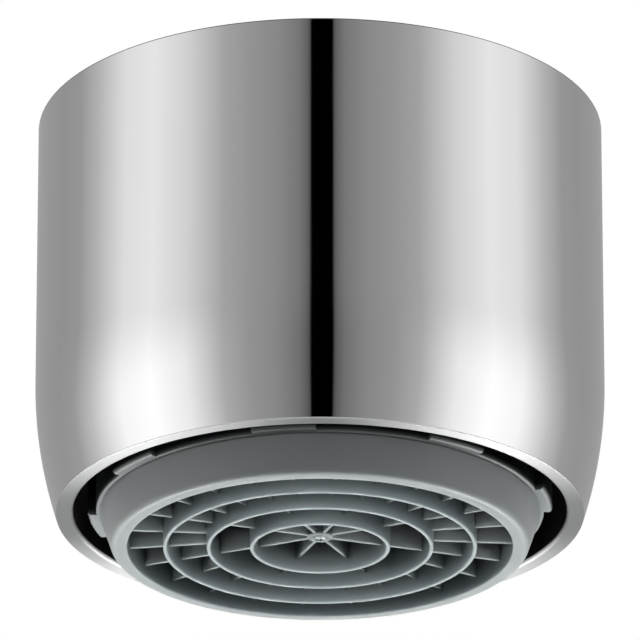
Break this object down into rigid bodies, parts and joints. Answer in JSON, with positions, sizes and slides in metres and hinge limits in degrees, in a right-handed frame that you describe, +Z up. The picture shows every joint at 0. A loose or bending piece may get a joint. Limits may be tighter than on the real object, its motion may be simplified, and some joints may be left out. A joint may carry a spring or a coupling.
{
  "type": "tap aerator",
  "caption": "Screw-on tap aerator: chromed sleeve with an inner thread, holding a moulded insert with a ringed and ribbed outlet grid, jet plate, strainer and seal",
  "frame": {"origin": "centre of the outlet rim, the lowest plane of the part, on the water's axis", "axes": "+Z runs up the water's axis towards the spout; +X runs along one of the grid's spokes"},
  "size_m": [0.024, 0.024, 0.019],
  "materials": {
    "chromed_sleeve": "polished",
    "grey_moulding": "satin",
    "pale_moulding": "satin",
    "black_rubber": "matte"
  },
  "bodies": {
    "root": {"shell": "chromed_sleeve", "insert_body": "grey_moulding", "outlet_grid": "grey_moulding", "mixing_disc": "grey_moulding", "jet_plate": "pale_moulding", "inlet_strainer": "pale_moulding", "sealing_washer": "black_rubber"}
  },
  "joints": []
}
